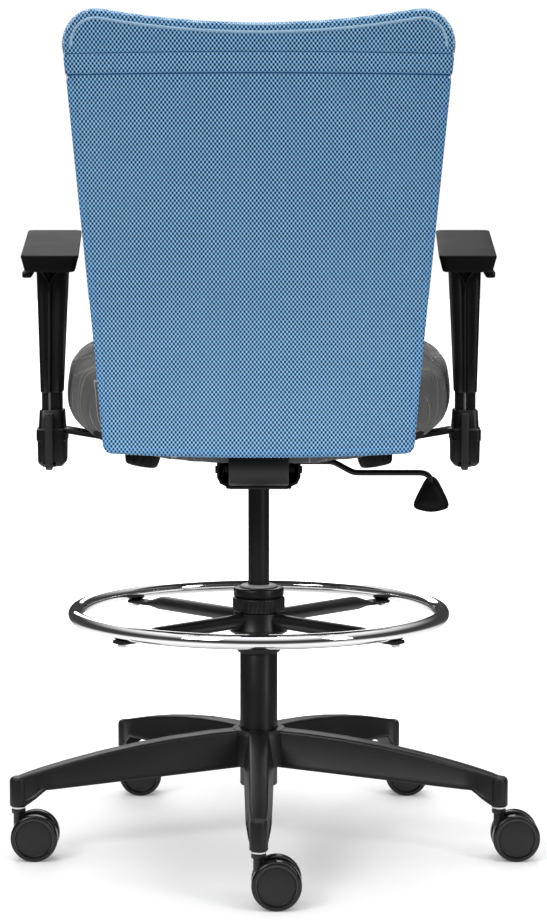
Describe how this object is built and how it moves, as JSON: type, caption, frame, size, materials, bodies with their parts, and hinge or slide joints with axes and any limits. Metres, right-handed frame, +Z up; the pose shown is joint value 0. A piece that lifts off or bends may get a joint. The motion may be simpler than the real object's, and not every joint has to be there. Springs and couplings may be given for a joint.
{
  "type": "drafting chair",
  "caption": "Tall swivel chair with an upholstered seat, mesh-covered back, adjustable arms, gas column, chromed foot ring and star base on casters.",
  "frame": {"origin": "on the column's axis at the floor, under the casters", "axes": "+Z up along the column, the sitter faces -Y, the sitter's left is +X"},
  "size_m": [0.6895, 0.6392, 1.0762],
  "materials": {
    "base_plastic": "fine moulded texture, satin",
    "caster_plastic": "satin",
    "caster_steel": "bright",
    "wheel_plastic": "polished rim, matt disc",
    "column_paint": "black satin powder coat",
    "bush_plastic": "natural nylon",
    "inner_steel": "ground",
    "ring_chrome": "polished chrome plate",
    "spoke_paint": "black powder coat",
    "hub_plastic": "moulded satin",
    "mechanism_paint": "black powder coat",
    "lever_paint": "black satin",
    "control_plastic": "moulded satin",
    "pan_wood": "moulded plywood",
    "seat_fabric": "woven charcoal with fine coloured arcs",
    "back_fabric": "woven charcoal with fine coloured arcs",
    "mesh_fabric": "blue spacer mesh",
    "mesh_trim": "blue sewn band",
    "back_plastic": "light grey moulded",
    "frame_plastic": "black moulded",
    "arm_plastic": "fine moulded texture",
    "arm_steel": "black paint",
    "pad_foam": "soft moulded polyurethane"
  },
  "bodies": {
    "base": {"five_star_base": "base_plastic", "caster_stems": "caster_steel", "column_tube": "column_paint", "column_guide_bush": "bush_plastic", "thrust_bearing": "inner_steel"},
    "caster_1": {"caster_body_1": "caster_plastic"},
    "wheel_outer_1": {"caster_wheel_outer_1": "wheel_plastic"},
    "wheel_inner_1": {"caster_wheel_inner_1": "wheel_plastic"},
    "caster_2": {"caster_body_2": "caster_plastic"},
    "wheel_outer_2": {"caster_wheel_outer_2": "wheel_plastic"},
    "wheel_inner_2": {"caster_wheel_inner_2": "wheel_plastic"},
    "caster_3": {"caster_body_3": "caster_plastic"},
    "wheel_outer_3": {"caster_wheel_outer_3": "wheel_plastic"},
    "wheel_inner_3": {"caster_wheel_inner_3": "wheel_plastic"},
    "caster_4": {"caster_body_4": "caster_plastic"},
    "wheel_outer_4": {"caster_wheel_outer_4": "wheel_plastic"},
    "wheel_inner_4": {"caster_wheel_inner_4": "wheel_plastic"},
    "caster_5": {"caster_body_5": "caster_plastic"},
    "wheel_outer_5": {"caster_wheel_outer_5": "wheel_plastic"},
    "wheel_inner_5": {"caster_wheel_inner_5": "wheel_plastic"},
    "foot_ring": {"foot_ring": "ring_chrome", "foot_ring_spokes": "spoke_paint", "foot_ring_screws": "inner_steel", "foot_ring_hub": "hub_plastic", "foot_ring_collar": "hub_plastic"},
    "foot_ring_lock": {"foot_ring_lock": "hub_plastic"},
    "spindle": {"gas_piston_rod": "inner_steel"},
    "seat": {"gas_cylinder": "column_paint", "mechanism_housing": "mechanism_paint", "recline_pin": "inner_steel", "recline_spring": "inner_steel", "seat_plate": "mechanism_paint", "seat_pan": "pan_wood", "seat_cushion": "seat_fabric", "arm_guides": "mechanism_paint"},
    "lift_lever": {"lift_lever": "lever_paint", "lift_paddle": "control_plastic"},
    "back": {"back_upright": "mechanism_paint", "back_plate": "back_plastic", "back_frame": "frame_plastic", "back_cushion": "back_fabric", "mesh_cover": "mesh_fabric", "mesh_binding": "mesh_trim", "mesh_hem": "mesh_trim", "back_screws": "inner_steel"},
    "arm_left": {"arm_bar_left": "arm_steel", "arm_sleeve_left": "arm_plastic", "arm_tube_left": "arm_steel"},
    "arm_top_left": {"arm_post_left": "arm_plastic", "arm_pad_left": "pad_foam"},
    "arm_trigger_left": {"arm_trigger_left": "control_plastic"},
    "arm_knob_left": {"arm_knob_left": "control_plastic"},
    "arm_right": {"arm_bar_right": "arm_steel", "arm_sleeve_right": "arm_plastic", "arm_tube_right": "arm_steel"},
    "arm_top_right": {"arm_post_right": "arm_plastic", "arm_pad_right": "pad_foam"},
    "arm_trigger_right": {"arm_trigger_right": "control_plastic"},
    "arm_knob_right": {"arm_knob_right": "control_plastic"}
  },
  "joints": [
    {"name": "caster_swivel_1", "type": "hinge", "parent": "base", "child": "caster_1", "pos_m": [0, 0.329, 0.07], "axis": [0, 0, 1], "continuous": true},
    {"name": "wheel_outer_spin_1", "type": "hinge", "parent": "caster_1", "child": "wheel_outer_1", "pos_m": [-0.0215, 0.329, 0.0307], "axis": [0, 1, 0], "continuous": true},
    {"name": "wheel_inner_spin_1", "type": "hinge", "parent": "caster_1", "child": "wheel_inner_1", "pos_m": [-0.0215, 0.329, 0.0307], "axis": [0, 1, 0], "continuous": true},
    {"name": "caster_swivel_2", "type": "hinge", "parent": "base", "child": "caster_2", "pos_m": [-0.3129, 0.10167, 0.07], "axis": [0, 0, 1], "continuous": true},
    {"name": "wheel_outer_spin_2", "type": "hinge", "parent": "caster_2", "child": "wheel_outer_2", "pos_m": [-0.3344, 0.10167, 0.0307], "axis": [0, 1, 0], "continuous": true},
    {"name": "wheel_inner_spin_2", "type": "hinge", "parent": "caster_2", "child": "wheel_inner_2", "pos_m": [-0.3344, 0.10167, 0.0307], "axis": [0, 1, 0], "continuous": true},
    {"name": "caster_swivel_3", "type": "hinge", "parent": "base", "child": "caster_3", "pos_m": [-0.19338, -0.26617, 0.07], "axis": [0, 0, 1], "continuous": true},
    {"name": "wheel_outer_spin_3", "type": "hinge", "parent": "caster_3", "child": "wheel_outer_3", "pos_m": [-0.21488, -0.26617, 0.0307], "axis": [0, 1, 0], "continuous": true},
    {"name": "wheel_inner_spin_3", "type": "hinge", "parent": "caster_3", "child": "wheel_inner_3", "pos_m": [-0.21488, -0.26617, 0.0307], "axis": [0, 1, 0], "continuous": true},
    {"name": "caster_swivel_4", "type": "hinge", "parent": "base", "child": "caster_4", "pos_m": [0.19338, -0.26617, 0.07], "axis": [0, 0, 1], "continuous": true},
    {"name": "wheel_outer_spin_4", "type": "hinge", "parent": "caster_4", "child": "wheel_outer_4", "pos_m": [0.17188, -0.26617, 0.0307], "axis": [0, 1, 0], "continuous": true},
    {"name": "wheel_inner_spin_4", "type": "hinge", "parent": "caster_4", "child": "wheel_inner_4", "pos_m": [0.17188, -0.26617, 0.0307], "axis": [0, 1, 0], "continuous": true},
    {"name": "caster_swivel_5", "type": "hinge", "parent": "base", "child": "caster_5", "pos_m": [0.3129, 0.10167, 0.07], "axis": [0, 0, 1], "continuous": true},
    {"name": "wheel_outer_spin_5", "type": "hinge", "parent": "caster_5", "child": "wheel_outer_5", "pos_m": [0.2914, 0.10167, 0.0307], "axis": [0, 1, 0], "continuous": true},
    {"name": "wheel_inner_spin_5", "type": "hinge", "parent": "caster_5", "child": "wheel_inner_5", "pos_m": [0.2914, 0.10167, 0.0307], "axis": [0, 1, 0], "continuous": true},
    {"name": "foot_ring_slide", "type": "slide", "parent": "base", "child": "foot_ring", "axis": [0, 0, 1], "range_m": [-0.085, 0.012]},
    {"name": "foot_ring_lock_turn", "type": "hinge", "parent": "foot_ring", "child": "foot_ring_lock", "pos_m": [0, 0, 0.33], "axis": [0, 0, 1], "range_deg": [0, 90]},
    {"name": "seat_swivel", "type": "hinge", "parent": "base", "child": "spindle", "pos_m": [0, 0, 0.076], "axis": [0, 0, 1], "continuous": true},
    {"name": "seat_lift", "type": "slide", "parent": "spindle", "child": "seat", "axis": [0, 0, 1], "range_m": [-0.075, 0.085]},
    {"name": "lift_lever_pull", "type": "hinge", "parent": "seat", "child": "lift_lever", "pos_m": [-0.042, -0.02, 0.509], "axis": [0, 1, 0], "range_deg": [0, 7], "stiffness_Nm_per_rad": 6, "springref_deg": -8.59},
    {"name": "back_recline", "type": "hinge", "parent": "seat", "child": "back", "pos_m": [0, 0.05, 0.505], "axis": [-1, 0, 0], "range_deg": [0, 13], "stiffness_Nm_per_rad": 90, "springref_deg": -22.92},
    {"name": "arm_width_left", "type": "slide", "parent": "seat", "child": "arm_left", "axis": [0.9857, 0, 0.1685], "range_m": [0, 0.038]},
    {"name": "arm_height_left", "type": "slide", "parent": "arm_left", "child": "arm_top_left", "axis": [0, 0, 1], "range_m": [-0.022, 0.07]},
    {"name": "arm_trigger_press_left", "type": "hinge", "parent": "arm_top_left", "child": "arm_trigger_left", "pos_m": [0.2975, 0.049, 0.76449], "axis": [1, 0, 0], "range_deg": [0, 5], "stiffness_Nm_per_rad": 0.6, "springref_deg": -11.46},
    {"name": "arm_knob_turn_left", "type": "hinge", "parent": "seat", "child": "arm_knob_left", "pos_m": [0.15, 0.035, 0.5356], "axis": [-0.1685, 0, 0.9857], "range_deg": [0, 180]},
    {"name": "arm_width_right", "type": "slide", "parent": "seat", "child": "arm_right", "axis": [-0.9857, 0, 0.1685], "range_m": [0, 0.038]},
    {"name": "arm_height_right", "type": "slide", "parent": "arm_right", "child": "arm_top_right", "axis": [0, 0, 1], "range_m": [-0.022, 0.07]},
    {"name": "arm_trigger_press_right", "type": "hinge", "parent": "arm_top_right", "child": "arm_trigger_right", "pos_m": [-0.2975, 0.049, 0.76449], "axis": [1, 0, 0], "range_deg": [0, 5], "stiffness_Nm_per_rad": 0.6, "springref_deg": -11.46},
    {"name": "arm_knob_turn_right", "type": "hinge", "parent": "seat", "child": "arm_knob_right", "pos_m": [-0.15, 0.035, 0.5356], "axis": [0.1685, 0, 0.9857], "range_deg": [0, 180]}
  ]
}
